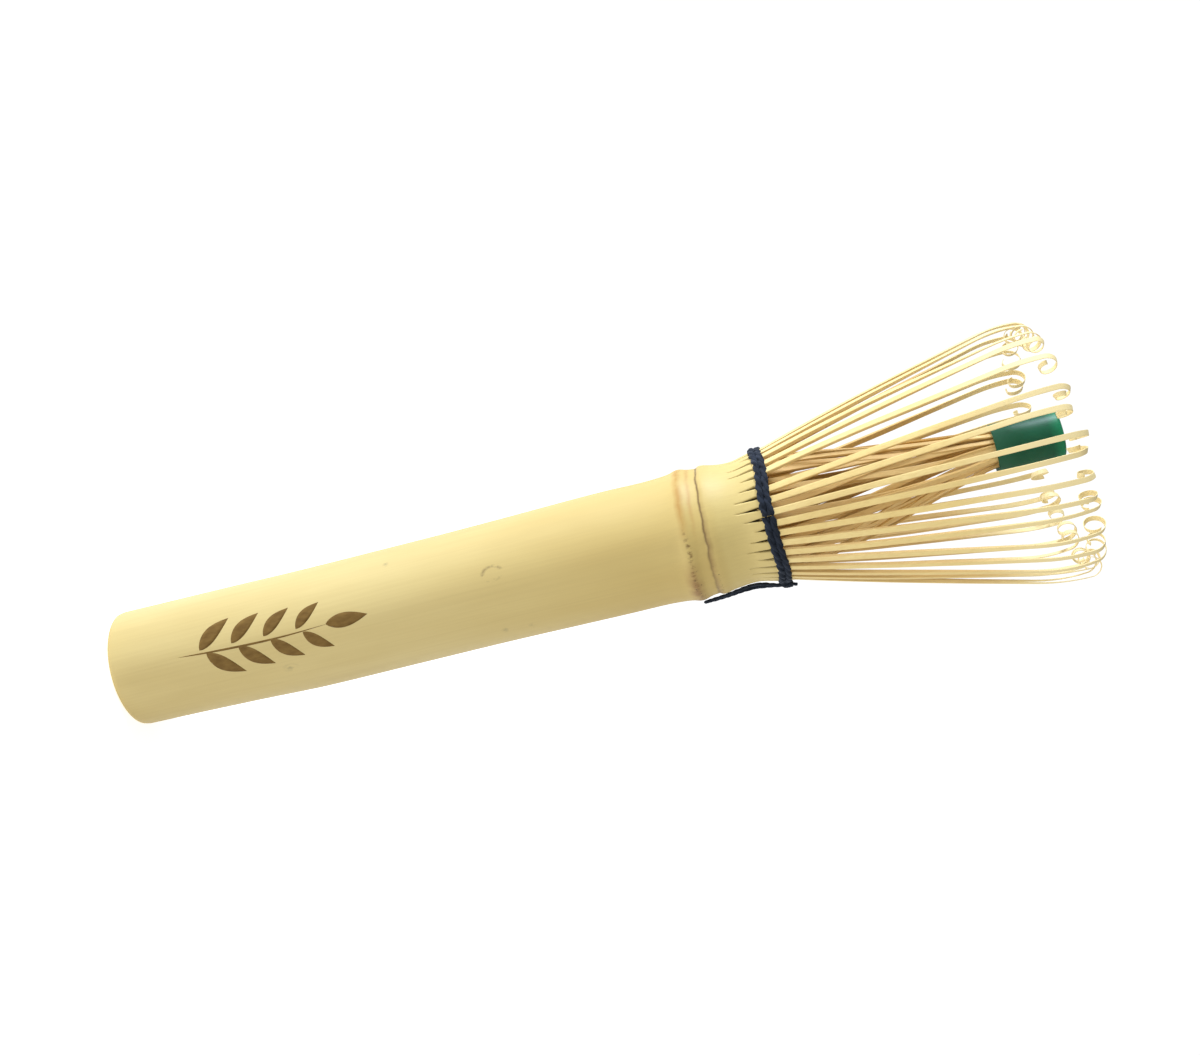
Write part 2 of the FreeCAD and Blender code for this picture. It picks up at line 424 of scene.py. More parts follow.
def splint(name, roughness, pale, deep, streak):
    """Split bamboo: each strip has its own tone and fibre streaks, and is palest where it is thin, partly
    the pale of shaved bamboo and partly painted light coming through it.
    """
    n = Nodes(name, roughness=roughness, specular=0.35)
    fibre = n.noise((3200, 3200, 70), detail=4)
    along = n.noise((240, 240, 60), detail=2)
    colour = n.blend(n.value("tone"), pale, deep)
    colour = n.blend(n.reach(along, 0.4, 0.75, 0.0, 0.35), colour, streak)
    colour = n.blend(n.reach(fibre, 0.45, 0.8, 0.0, 0.5), colour, streak)
    # Painted light: where a strip is shaved thin it turns pale, for the light that comes through it.
    colour = n.blend(n.value("tip"), colour, THIN_PALE_AND_LIT_THROUGH)
    return n.finish(colour, n.bump(fibre, 0.00004, 0.6))


def yarn():
    """Navy cotton thread: fuzzy, slightly uneven in colour."""
    n = Nodes("navy_yarn", roughness=0.85, specular=0.2)
    fuzz = n.noise((5200, 5200, 5200), detail=4)
    fade = n.noise((500, 500, 500), detail=2)
    colour = n.blend(n.reach(fade, 0.35, 0.7), rgb(0.010, 0.014, 0.022), rgb(0.020, 0.027, 0.042))
    colour = n.blend(n.reach(fuzz, 0.55, 0.8, 0.0, 0.5), colour, rgb(0.045, 0.055, 0.07))
    n.shader.inputs["Sheen Weight"].default_value = 0.2
    n.shader.inputs["Sheen Roughness"].default_value = 0.4
    n.shader.inputs["Sheen Tint"].default_value = rgb(0.35, 0.4, 0.5)
    return n.finish(colour, n.bump(fuzz, 0.00006, 0.8))


def green_plastic():
    """Thin translucent green plastic, a little cloudy, with painted light at its closed end."""
    n = Nodes("green_plastic", roughness=0.42, specular=0.2)
    cloud = n.noise((260, 260, 160), detail=2)
    colour = n.blend(n.reach(cloud, 0.3, 0.7), rgb(0.004, 0.125, 0.052), rgb(0.006, 0.16, 0.07))
    # Painted light: the closed end is painted a brighter green, for the light that comes through the plastic
    # where no tines fill it.
    lit_closed_end = n.reach(n.axis("Z"), (CAP_HIGH.z - 2.4) * MM, (CAP_HIGH.z - 0.8) * MM)
    colour = n.blend(lit_closed_end, colour, rgb(0.010, 0.30, 0.125))
    n.shader.inputs["Transmission Weight"].default_value = 0.5
    n.shader.inputs["IOR"].default_value = 1.45
    return n.finish(colour, n.bump(cloud, 0.00004, 0.3))


def burned():
    """Scorched bamboo, browner where the burn is light."""
    n = Nodes("burned_bamboo", roughness=0.75, specular=0.2)
    char = n.noise((1300, 1300, 500), detail=4)
    colour = n.blend(n.reach(char, 0.35, 0.7), rgb(0.145, 0.078, 0.017), rgb(0.21, 0.122, 0.030))
    return n.finish(colour, n.bump(char, 0.00005, 0.8))


SKIN = culm_skin()
CUT = culm_cut()
TINE_FACE = splint("outer_splint_face", 0.5, pale=rgb(0.83, 0.655, 0.28), deep=rgb(0.76, 0.57, 0.215),
                   streak=rgb(0.64, 0.435, 0.145))
TINE_SIDE = splint("outer_splint_side", 0.6, pale=rgb(0.74, 0.535, 0.215), deep=rgb(0.65, 0.44, 0.16),
                   streak=rgb(0.50, 0.31, 0.10))
INNER_FACE = splint("inner_splint_face", 0.55, pale=rgb(0.84, 0.61, 0.26), deep=rgb(0.76, 0.515, 0.19),
                    streak=rgb(0.60, 0.37, 0.115))
INNER_SIDE = splint("inner_splint_side", 0.65, pale=rgb(0.74, 0.50, 0.175), deep=rgb(0.63, 0.40, 0.125),
                    streak=rgb(0.48, 0.28, 0.08))
YARN = yarn()
GREEN = green_plastic()
BURNED = burned()


# ---- camera, floor and light ----

CAMERA_PLACE = (-0.005413, -0.280914, 0.134948)
CAMERA_DOWN = math.radians(7.775)       # it looks along +Y and a little down
CAMERA_ROLL = math.radians(76.12)       # so the whisk lies nearly level in the picture
LENS_MM = 45.02
SENSOR_MM = 36.0


def make_camera():
    data = bpy.data.cameras.new("camera")
    data.lens = LENS_MM
    data.sensor_width = SENSOR_MM
    data.clip_start = 0.01
    data.clip_end = 20
    camera = bpy.data.objects.new("camera", data)
    aim = Matrix.Rotation(math.pi / 2 - CAMERA_DOWN, 4, "X") @ Matrix.Rotation(CAMERA_ROLL, 4, "Z")
    camera.matrix_world = Matrix.Translation(CAMERA_PLACE) @ aim
    bpy.context.scene.collection.objects.link(camera)
    bpy.context.scene.camera = camera


FLOOR_GLOW = 0.62           # lifts the floor to the white of the backdrop
FLOOR_HALF = 6.0
FLOOR_DROP = 0.00002        # just under the whisk, so the two never share a plane


def make_floor():
    n = Nodes("floor", roughness=0.8, specular=0.1)
    n.finish(rgb(0.93, 0.93, 0.925))
    n.shader.inputs["Emission Color"].default_value = rgb(1, 1, 1)
    n.shader.inputs["Emission Strength"].default_value = FLOOR_GLOW
    mesh = bpy.data.meshes.new("floor")
    corners = [(-1, -1), (1, -1), (1, 1), (-1, 1)]
    mesh.from_pydata([(x * FLOOR_HALF, y * FLOOR_HALF, -FLOOR_DROP) for x, y in corners], [], [(0, 1, 2, 3)])
    mesh.materials.append(n.material)
    floor = bpy.data.objects.new("floor", mesh)
    bpy.context.scene.collection.objects.link(floor)


def make_world(light, backdrop):
    """Even white light. The backdrop that the camera sees is brighter than the light it gives."""
    world = bpy.data.worlds.new("studio")
    bpy.context.scene.world = world
    world.use_nodes = True
    tree = world.node_tree
    tree.nodes.clear()
    seen = tree.nodes.new("ShaderNodeBackground")
    seen.inputs["Strength"].default_value = backdrop
    given = tree.nodes.new("ShaderNodeBackground")
    given.inputs["Strength"].default_value = light
    for node in (seen, given):
        node.inputs["Color"].default_value = rgb(1, 1, 1)
    path = tree.nodes.new("ShaderNodeLightPath")
    choose = tree.nodes.new("ShaderNodeMixShader")
    output = tree.nodes.new("ShaderNodeOutputWorld")
    tree.links.new(path.outputs["Is Camera Ray"], choose.inputs[0])
    tree.links.new(given.outputs[0], choose.inputs[1])
    tree.links.new(seen.outputs[0], choose.inputs[2])
    tree.links.new(choose.outputs[0], output.inputs["Surface"])


def make_light(name, target, direction, distance, size, power, colour):
    data = bpy.data.lights.new(name, "AREA")
    data.color = colour
    data.shape = "DISK"
    data.size = size
    data.energy = power
    light = bpy.data.objects.new(name, data)
    away = Vector(direction).normalized()
    light.location = Vector(target) + away * distance
    light.rotation_mode = "QUATERNION"
    light.rotation_quaternion = away.to_track_quat("Z", "Y")
    bpy.context.scene.collection.objects.link(light)


make_camera()
make_floor()
make_world(light=0.5, backdrop=1.05)
make_light("key", target=(0, 0, 0.1), direction=(-1.0, -0.09, 0.42), distance=0.9, size=0.26, power=8.0,
           colour=(0.90, 1.0, 1.18))
bpy.context.scene.view_settings.view_transform = "Standard"


# ---- plied yarn ----

YARN_RADIUS = 0.43
YARN_PLIES = 3
YARN_PLY_LAY = 1.3          # length of one turn of the plies
YARN_SECTION = 12           # points round the yarn
YARN_LOBE = 0.13            # how far the plies bulge, as a share of the yarn's radius


def yarn_rings(path, radius, closed=False):
    """Rings of a plied yarn round a path of points: a lobed section that turns as it goes."""
    rings = []
    gone = 0.0
    count = len(path)
    length = sum((path[(k + 1) % count] - path[k]).length for k in range(count if closed else count - 1))
    turns = round(length / YARN_PLY_LAY) if closed else length / YARN_PLY_LAY
    up = Vector((0.05, 0.02, 1.0)).normalized()         # tilted a little, so that no path runs along it
    for k, point in enumerate(path):
        if closed:
            ahead = (path[(k + 1) % count] - path[k - 1]).normalized()
        else:
            ahead = (path[min(k + 1, count - 1)] - path[max(k - 1, 0)]).normalized()
        across = ahead.cross(up).normalized()
        over = across.cross(ahead)
        phase = FULL_TURN * turns * gone / length
        ring = []
        for i in range(YARN_SECTION):
            turn = FULL_TURN * i / YARN_SECTION
            lobe = radius * (1 + YARN_LOBE * math.cos(YARN_PLIES * (turn - phase / YARN_PLIES)))
            ring.append(point + across * (lobe * math.cos(turn)) + over * (lobe * math.sin(turn)))
        rings.append(ring)
        if closed or k < count - 1:
            gone += (path[(k + 1) % count] - point).length
    return rings


# ---- the spare thread: a loop from the knot down to the node and back ----

LOOP_DIAMETER = 0.6
# The frame's route, with its two strands laid closer to the waist.
LOOP_ROUTE = [
    (13.25, -0.36, 127.9),
    (12.75, -0.35, 125.9),
    (11.95, -0.3, 123.6),
    (11.85, -0.25, 121.2),
    (12.25, -0.3, 118.6),
    (12.6, -0.45, 116.2),
    (12.72, -0.62, 114.2),
    (12.9, -0.66, 112.6),
    (13.0, 0.64, 112.6),
    (12.95, 0.6, 114.4),
    (12.8, 0.42, 117.2),
    (12.4, 0.4, 120.7),
    (12.62, 0.4, 124.4),
    (13.35, 0.38, 127.9),
]


def points_of_spline(route):
    """Points of the smooth curve that has the route as its control points, in millimetres."""
    curve = bpy.data.curves.new("spare_thread_line", "CURVE")
    curve.dimensions = "3D"
    curve.resolution_u = 20
    line = curve.splines.new("NURBS")
    line.points.add(len(route) - 1)
    for point, place in zip(line.points, route):
        point.co = (*(c * MM for c in place), 1.0)
    line.order_u = 3
    line.use_endpoint_u = True
    guide = bpy.data.objects.new("spare_thread_line", curve)
    mesh = bpy.data.meshes.new_from_object(guide)
    places = [vertex.co / MM for vertex in mesh.vertices]
    bpy.data.meshes.remove(mesh)
    bpy.data.objects.remove(guide)
    bpy.data.curves.remove(curve)
    return places


def make_spare_loop():
    path = points_of_spline(LOOP_ROUTE)
    sweep = Sweep()
    sweep.add(yarn_rings(path, LOOP_DIAMETER / 2))
    loop = sweep.piece("spare_thread", [YARN], "handle")
    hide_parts("thread_loop")


make_spare_loop()


# ---- the culm: handle, node and the slit cup ----

# The outside of the culm, as (height, radius).
CULM_SIDE = [
    (0.0, 11.28), (8.0, 11.32), (24.0, 11.42), (38.0, 11.55), (58.0, 11.5), (78.0, 11.57), (98.0, 11.8),
    (106.0, 11.74), (109.6, 11.9), (111.2, 12.1), (112.1, 12.36), (112.8, 12.47), (113.5, 12.38),
    (114.6, 12.05), (115.7, 11.9), (116.3, 11.88), (116.75, 12.16), (117.6, 12.14), (119.2, 11.82),
    (121.5, 11.5), (123.6, 11.52), (125.4, 11.9), (127.0, 12.26), (128.3, 12.28),
]
RIM_RADIUS = CULM_SIDE[-1][1]
# How far the culm's middle strays along X, as (height, shift).
CULM_BEND = [
    (0.0, -0.42), (24.0, -0.1), (38.0, 0.17), (58.0, 0.12), (78.0, 0.0), (98.0, -0.1), (110.0, 0.0),
    (128.3, 0.0),
]
# The rings' lean comes in between the first two heights, and goes between the last two.
RING_TILT_SPAN = (104.0, 110.0, 118.0, 122.0)
CULM_TEETH_TOP = 128.3
BORE_RADIUS = 8.0
CUP_RADIUS = 8.8
WALL_FOOT = 110.0
WALL_TOP = 113.6
BASE_BEVEL = 0.45
SLIT_DEPTH = 1.7
SLIT_WIDTH = 0.68
SLIT_NARROWEST = 0.1
SLIT_OPEN_BELOW = 0.8       # a slit is fully open this far below the teeth's top
SLIT_SEED = 11
COARSE_ROW = 4.0            # between the culm's rings of points
FINE_ROW = 0.3              # and where the node, the cup and the slits need closer ones
FINE_FROM_Z = 105.0
SKIN_RIPPLE = 0.05          # how far the skin swells and dips


def along_curve(table, at):
    """A smooth line through (place, value) pairs."""
    if at <= table[0][0]:
        return table[0][1]
    if at >= table[-1][0]:
        return table[-1][1]
    i = max(k for k, (place, _) in enumerate(table) if place <= at)

    def slope(k):
        a, b = table[max(k - 1, 0)], table[min(k + 1, len(table) - 1)]
        return (b[1] - a[1]) / (b[0] - a[0])

    (x0, y0), (x1, y1) = table[i], table[i + 1]
    span = x1 - x0
    t = (at - x0) / span
    rise = slope(i) * span * t * (1 - t) ** 2 - slope(i + 1) * span * t * t * (1 - t)
    return mix(y0, y1, t * t * (3 - 2 * t)) + rise


def slit_list():
    """Each slit between two teeth of the cup: where it starts and how wide it opens."""
    rnd = random.Random(SLIT_SEED)
    return [(rnd.uniform(122.2, 125.4), SLIT_WIDTH * rnd.uniform(0.8, 1.15)) for _ in range(TINE_SLOTS)]


def slit_columns(width):
    """Places across one pitch, from a slit's middle, as (distance in mm, share of the slit's depth)."""
    tooth = PITCH * RIM_RADIUS - width
    inside = [(-0.5, 0.0), (-0.4, 0.6), (0.0, 1.0), (0.4, 0.6), (0.5, 0.0)]
    columns = [(share * width, depth) for share, depth in inside]
    teeth = 6
    columns += [(width / 2 + tooth * k / teeth, 0.0) for k in range(1, teeth)]
    return columns


def culm_rows():
    """Heights of the culm's rings of points, from its bevel up."""
    rows = [COARSE_ROW * k for k in range(1, int(FINE_FROM_Z / COARSE_ROW) + 1)]
    rows += [FINE_FROM_Z + FINE_ROW * k for k in range(int((CULM_TEETH_TOP - FINE_FROM_Z) / FINE_ROW) + 1)]
    if rows[-1] < CULM_TEETH_TOP:
        rows.append(CULM_TEETH_TOP)
    return [BASE_BEVEL * 2] + rows


def culm_point(z, angle, sink=0.0, radius=None):
    """A point on the culm's skin, or on an inner wall of the given radius, sunk in by sink."""
    tilt_in = smooth_step(*RING_TILT_SPAN[:2], z) * (1 - smooth_step(*RING_TILT_SPAN[2:], z))
    direction = outwards(angle)
    if radius is None:
        ripple = SKIN_RIPPLE * noise.noise(Vector((direction.x * 1.3, direction.y * 1.3, z / 22)))
        radius = along_curve(CULM_SIDE, z + RING_TILT * direction.x * tilt_in) + ripple
    return direction * (radius - sink) + Vector((along_curve(CULM_BEND, z), 0, z))


def make_culm():
    slits = slit_list()
    points, faces, face_slots = [], [], []
    values = {"slit": []}
    rings = []

    def add_ring(z, inset=0.0, radius=None):
        """A ring of points. inset pulls it in at the base's bevel, and radius makes an inner wall."""
        ring = []
        for k, (start, widest) in enumerate(slits):
            opening = smooth_step(start, CULM_TEETH_TOP - SLIT_OPEN_BELOW, z)
            width = max(SLIT_NARROWEST, widest * opening ** 0.8)
            middle = FIRST_ANGLE + (k + 0.5) * PITCH
            for distance, share in slit_columns(width):
                angle = middle + distance / RIM_RADIUS
                sink = inset + (SLIT_DEPTH * share * opening ** 0.5 if radius is None else 0.0)
                point = culm_point(z, angle, sink, radius)
                ring.append(len(points))
                points.append(point)
                # How much painted shade the slit gets: most where it is deepest and widest.
                slit_shade = min(1.0, 1.7 * share) * min(1.0, opening * 3)
                values["slit"].append(slit_shade if radius is None else 0.0)
        rings.append(ring)

    def add_pole(z):
        points.append(Vector((along_curve(CULM_BEND, z), 0, z)))
        values["slit"].append(0.0)
        return len(points) - 1

    add_ring(WALL_FOOT, radius=BORE_RADIUS)
    add_ring(WALL_FOOT / 2, radius=BORE_RADIUS)
    add_ring(0.0, radius=BORE_RADIUS)
    cut_rings = len(rings)
    add_ring(0.0, inset=BASE_BEVEL)
    add_ring(BASE_BEVEL * 0.3, inset=BASE_BEVEL * 0.3)
    for z in culm_rows():
        add_ring(z)
    skin_rings = len(rings)
    add_ring(CULM_TEETH_TOP, radius=CUP_RADIUS)
    add_ring(WALL_TOP, radius=CUP_RADIUS)
    for row, (low, high) in enumerate(zip(rings, rings[1:]), start=1):
        on_skin = cut_rings < row < skin_rings
        for i in range(len(low)):
            j = (i + 1) % len(low)
            faces.append((low[i], low[j], high[j], high[i]))
            face_slots.append(0 if on_skin else 1)
    for ring, pole, order in ((rings[0], add_pole(WALL_FOOT), 1), (rings[-1], add_pole(WALL_TOP), -1)):
        for i in range(len(ring)):
            faces.append((ring[(i + 1) % len(ring)], ring[i], pole)[::order])
            face_slots.append(1)
    culm = new_piece("culm_of_bamboo", points, faces, [SKIN, CUT], "handle", face_slots, values=values)
    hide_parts("culm")


make_culm()


# ---- outer tines ----

# The middle line of an outer tine, from its root, as (length, turn outwards in degrees).
TINE_RUN = [(1.2, 6.0), (1.6, 10.0), (21.8, -2.2), (21.5, -0.6)]
TINE_ROOT_Z = 127.3
TINE_ROOT_RADIUS = 12.0
CROWN_SHIFT_X = -0.3                # how far the fan of tips leans to one side
LONGEST_AT = math.radians(70)       # the tines on this side reach furthest
LENGTH_SPREAD = 1.35                # and those across from it are shorter by twice as much
SHOULDER_LENGTH = 8.0               # from the end of the straight run to the curl
CURL_START = [(60, 1.25), (120, 0.95)]      # the curl's first parts, as (degrees, share of its radius)
CURL_END_SHARE = 0.78
TINE_STEP = 1.6                     # most length between two sections of a tine
TINE_TURN_STEP = 13                 # and most turn, in degrees
TINE_SEED = 23
# Thickness and width along an outer tine, as (share of its length, mm).
TINE_THICKNESS = [(0.0, 0.76), (0.3, 0.72), (0.5, 0.56), (0.68, 0.36), (0.82, 0.18), (1.0, 0.11)]
TINE_WIDTH = [(0.0, 1.2), (0.1, 1.18), (0.45, 1.08), (0.7, 0.96), (0.85, 1.0), (1.0, 0.9)]

# A split strip's section as (through its thickness, across its width), from -1 to 1, with cut corners.
STRIP_SECTION = [(-1.0, -0.82), (-0.78, -1.0), (0.76, -1.0), (0.97, -0.82), (1.05, 0.0), (0.97, 0.82),
                 (0.76, 1.0), (-0.78, 1.0), (-1.0, 0.82)]
STRIP_SIDE_SLOTS = [1, 1, 0, 0, 0, 0, 1, 1, 1]      # 0 is the outer face, and 1 the split sides and back
STRIP_CORNERS = [0, 1, 2, 3, 5, 6, 7, 8]


def strip_ring(centre, out, side, thickness, width):
    return [centre + out * (u * thickness / 2) + side * (v * width / 2) for u, v in STRIP_SECTION]


def walk(run, radius, z, step, turn_step):
    """Points along a bending line as (radius, height, heading, length so far)."""
    heading = gone = 0.0
    stations = [(radius, z, heading, gone)]
    for length, turn in run:
        steps = max(1, math.ceil(max(length / step, abs(turn) / turn_step)))
        for _ in range(steps):
            middle = heading + math.radians(turn) / steps / 2
            radius += length / steps * math.sin(middle)
            z += length / steps * math.cos(middle)
            heading += math.radians(turn) / steps
            gone += length / steps
            stations.append((radius, z, heading, gone))
    return stations


def outer_tine_run(angle, rnd):
    """A tine's middle line, as (length, turn outwards in degrees), and how long it is before the curl."""
    longer = LENGTH_SPREAD * math.cos(angle - LONGEST_AT) + rnd.uniform(-0.6, 0.6)
    run = list(TINE_RUN)
    run[2] = (run[2][0], run[2][1] + rnd.uniform(-1.2, 1.2))
    run.append((SHOULDER_LENGTH + longer, -rnd.uniform(12, 24)))
    before_curl = sum(length for length, _ in run)
    curl_radius = rnd.uniform(1.5, 2.05)
    for turn, wider in (*CURL_START, (rnd.uniform(120, 215), CURL_END_SHARE)):
        run.append((math.radians(turn) * curl_radius * wider, -turn))
    return run, before_curl


def outer_tine_sections(angle, rnd):
    """The sections of one outer tine, and how thinly it is shaved at each."""
    run, before_curl = outer_tine_run(angle, rnd)
    total = sum(length for length, _ in run)
    lean = math.radians(rnd.uniform(-2.2, 2.2))
    sway = rnd.uniform(-0.28, 0.28)
    sway_phase = rnd.uniform(0, FULL_TURN)
    drift = rnd.choice((-1, 1)) * rnd.uniform(0.4, 1.2)
    roll_end = math.radians(rnd.uniform(-20, 20))
    wave = rnd.uniform(0, 100)
    rings, tips = [], []
    for radius, z, heading, gone in walk(run, TINE_ROOT_RADIUS, TINE_ROOT_Z, TINE_STEP, TINE_TURN_STEP):
        share = gone / total
        free = smooth_step(0.03, 0.5, share)
        curled = max(0.0, gone - before_curl) / (total - before_curl)
        here = angle + lean * smooth_step(0.0, 0.85, share)
        sideways = sway * free * math.sin(3.5 * share + sway_phase) + drift * curled
        out = outwards(here) * math.cos(heading) - Vector((0, 0, math.sin(heading)))
        side = tangent(here)
        ahead = outwards(here) * math.sin(heading) + Vector((0, 0, math.cos(heading)))
        roll = Matrix.Rotation(roll_end * smooth_step(0.3, 0.9, share), 3, ahead)
        uneven = 1 + 0.07 * noise.noise(Vector((wave, share * 9, 0)))
        centre = outwards(here) * radius + tangent(here) * sideways + Vector((CROWN_SHIFT_X * share, 0, z))
        thickness = along_curve(TINE_THICKNESS, share)
        width = along_curve(TINE_WIDTH, share) * uneven
        rings.append(strip_ring(centre, roll @ out, roll @ side, thickness, width))
        tips.append(smooth_step(0.5, 0.8, share))
    return rings, tips


def make_outer_tine(number, hinge, rnd):
    node = hinge["child"]
    angle = angle_round(hinge) + math.radians(rnd.uniform(-0.7, 0.7))
    rings, tips = outer_tine_sections(angle, rnd)
    sweep = Sweep()
    sweep.add(rings, side_slots=STRIP_SIDE_SLOTS, corners=STRIP_CORNERS, tone=rnd.random(), tips=tips)
    tine = sweep.piece(f"tine_{number:02d}", [TINE_FACE, TINE_SIDE], None)
    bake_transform(tine)
    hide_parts(node)


tine_dice = random.Random(TINE_SEED)
for tine_number, tine_hinge in enumerate(hinges, start=1):
    make_outer_tine(tine_number, tine_hinge, tine_dice)


# ---- inner tines ----

INNER_PER_NODE = 5
INNER_SEED = 5
INNER_ROOT_Z = 126.4
# An inner tine's middle line, as (height, radius).
INNER_LEAN = [
    (INNER_ROOT_Z, 10.75), (129.5, 10.5), (140.0, 9.7), (150.0, 8.3), (160.0, 6.3), (165.0, 5.3),
    (170.0, 4.0), (181.0, 3.6),
]
# How much of the cap's shift along X it has, as (height, share).
INNER_SHIFT = [(INNER_ROOT_Z, 0.0), (140.0, 0.1), (150.0, 0.33), (160.0, 0.72), (170.0, 1.0), (181.0, 1.0)]
# Its width and thickness, as (share of its length, mm).
INNER_WIDTH = [(0.0, 1.1), (0.5, 1.05), (0.8, 0.8), (1.0, 0.5)]
INNER_THICKNESS = [(0.0, 0.52), (0.6, 0.42), (1.0, 0.3)]
INNER_TOP_Z = 180.6                 # of the longest
INNER_NEAREST, INNER_FURTHEST = 0.6, 0.97       # how much of that radius is left, by how far in one is drawn
INNER_STEPS = 26


def inner_tine_line(angle, rnd):
    """The middle line of one inner tine, as (place, angle round, share of its length)."""
    lift = rnd.uniform(0.0, 1.0)
    top = INNER_TOP_Z - rnd.uniform(0.0, 2.5)
    drift = math.radians(rnd.uniform(-42, 30))
    sway = rnd.uniform(-0.5, 0.5)
    line = []
    for k in range(INNER_STEPS + 1):
        share = k / INNER_STEPS
        z = mix(INNER_ROOT_Z, top, share)
        drawn_in = mix(1.0, mix(INNER_NEAREST, INNER_FURTHEST, lift), smooth_step(0.1, 0.8, share))
        radius = along_curve(INNER_LEAN, z) * drawn_in
        here = angle + drift * smooth_step(0.05, 0.95, share)
        bulge = sway * math.sin(math.pi * share)
        shift = Vector((CAP_AXIS_X * along_curve(INNER_SHIFT, z), 0, z))
        line.append((outwards(here) * radius + tangent(here) * bulge + shift, here, share))
    return line


def inner_tine_rings(angle, rnd):
    """One inner splint: it leans in, drifts round the bundle and ends inside the cap."""
    line = inner_tine_line(angle, rnd)
    roll_end = math.radians(rnd.uniform(-45, 45))
    rings = []
    for k, (centre, here, share) in enumerate(line):
        before = line[max(k - 1, 0)][0]
        after = line[min(k + 1, INNER_STEPS)][0]
        ahead = (after - before).normalized()
        side = (tangent(here) - ahead * tangent(here).dot(ahead)).normalized()
        out = side.cross(ahead)
        if out.dot(outwards(here)) < 0:
            out = -out
        roll = Matrix.Rotation(roll_end * smooth_step(0.1, 1.0, share), 3, ahead)
        rings.append(strip_ring(centre, roll @ out, roll @ side,
                                along_curve(INNER_THICKNESS, share), along_curve(INNER_WIDTH, share)))
    return rings


def make_inner_tines():
    rnd = random.Random(INNER_SEED)
    count = INNER_PER_NODE * len(inner_nodes)
    for group, node in enumerate(inner_nodes):
        sweep = Sweep()
        for k in range(INNER_PER_NODE):
            angle = FIRST_ANGLE + (group * INNER_PER_NODE + k + 0.5) * FULL_TURN / count
            sweep.add(inner_tine_rings(angle + math.radians(rnd.uniform(-1.5, 1.5)), rnd),
                      side_slots=STRIP_SIDE_SLOTS, corners=STRIP_CORNERS, tone=rnd.random())
        tines = sweep.piece(f"inner_splints_{group + 1}", [INNER_FACE, INNER_SIDE], "handle")
        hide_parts(node)


make_inner_tines()


# ---- the cap over the gathered tips ----

CAP_WALL = 0.42
CAP_CORNER = 0.7
CAP_COLUMNS = 64
CAP_CORNER_STEPS = 6
CAP_DOME = 0.15             # how far the closed end swells up


def cap_corner(radius, top, corner):
    """The rounded corner of a post, from its side to its top, as (radius, height)."""
    turns = [math.pi / 2 * k / CAP_CORNER_STEPS for k in range(CAP_CORNER_STEPS + 1)]
    return [(radius - corner * (1 - math.cos(turn)), top - corner * (1 - math.sin(turn))) for turn in turns]


def make_cap():
    top, foot = CAP_HIGH.z, CAP_LOW.z
    outside = [(CAP_RADIUS - 0.12, foot), (CAP_RADIUS, foot + 0.15), (CAP_RADIUS, foot + 4),
               (CAP_RADIUS - 0.03, top - 4)]
    outside += cap_corner(CAP_RADIUS, top, CAP_CORNER)
    outside.append((CAP_RADIUS * 0.3, top + CAP_DOME * 0.8))
    hollow = CAP_RADIUS - CAP_WALL
    inside = cap_corner(hollow, top - CAP_WALL, CAP_CORNER - CAP_WALL)[::-1]
    inside += [(hollow, foot + 4), (hollow, foot + 0.1)]
    profile = outside + inside
    first_inside = len(outside)
    points, faces = [], []
    for radius, z in profile:
        for k in range(CAP_COLUMNS):
            angle = FULL_TURN * k / CAP_COLUMNS
            points.append(outwards(angle) * radius + Vector((CAP_AXIS_X, 0, z)))
    top_pole = len(points)
    points.append(Vector((CAP_AXIS_X, 0, top + CAP_DOME)))
    inner_pole = len(points)
    points.append(Vector((CAP_AXIS_X, 0, top - CAP_WALL)))
    for row in range(len(profile)):
        if row == first_inside - 1:
            continue
        following = (row + 1) % len(profile)
        for k in range(CAP_COLUMNS):
            j = (k + 1) % CAP_COLUMNS
            faces.append((row * CAP_COLUMNS + k, row * CAP_COLUMNS + j,
                          following * CAP_COLUMNS + j, following * CAP_COLUMNS + k))
    outer_ring = (first_inside - 1) * CAP_COLUMNS
    inner_ring = first_inside * CAP_COLUMNS
    for k in range(CAP_COLUMNS):
        j = (k + 1) % CAP_COLUMNS
        faces.append((outer_ring + k, outer_ring + j, top_pole))
        faces.append((inner_ring + j, inner_ring + k, inner_pole))
    cap = new_piece("green_cap", points, faces, [GREEN], "tip_cap")
    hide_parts("tip_cap")


make_cap()


# ---- the binding: twined yarn in two courses, with a knot ----

COURSE_GAP = 1.12           # between the middles of the two courses
BINDING_Z = (THREAD_LOW + THREAD_HIGH) / 2 - 0.12
STEPS_PER_PITCH = 8
BULGE_OVER_TINE = 0.05
TWINE_OUT = 0.16            # how far a yarn swings in and out as it twines
TWINE_UP = 0.27             # and up and down
KNOT_SHARE = 0.75           # the knot's middle line, as a share of the knot in the frame
KNOT_DEPTH = 0.3


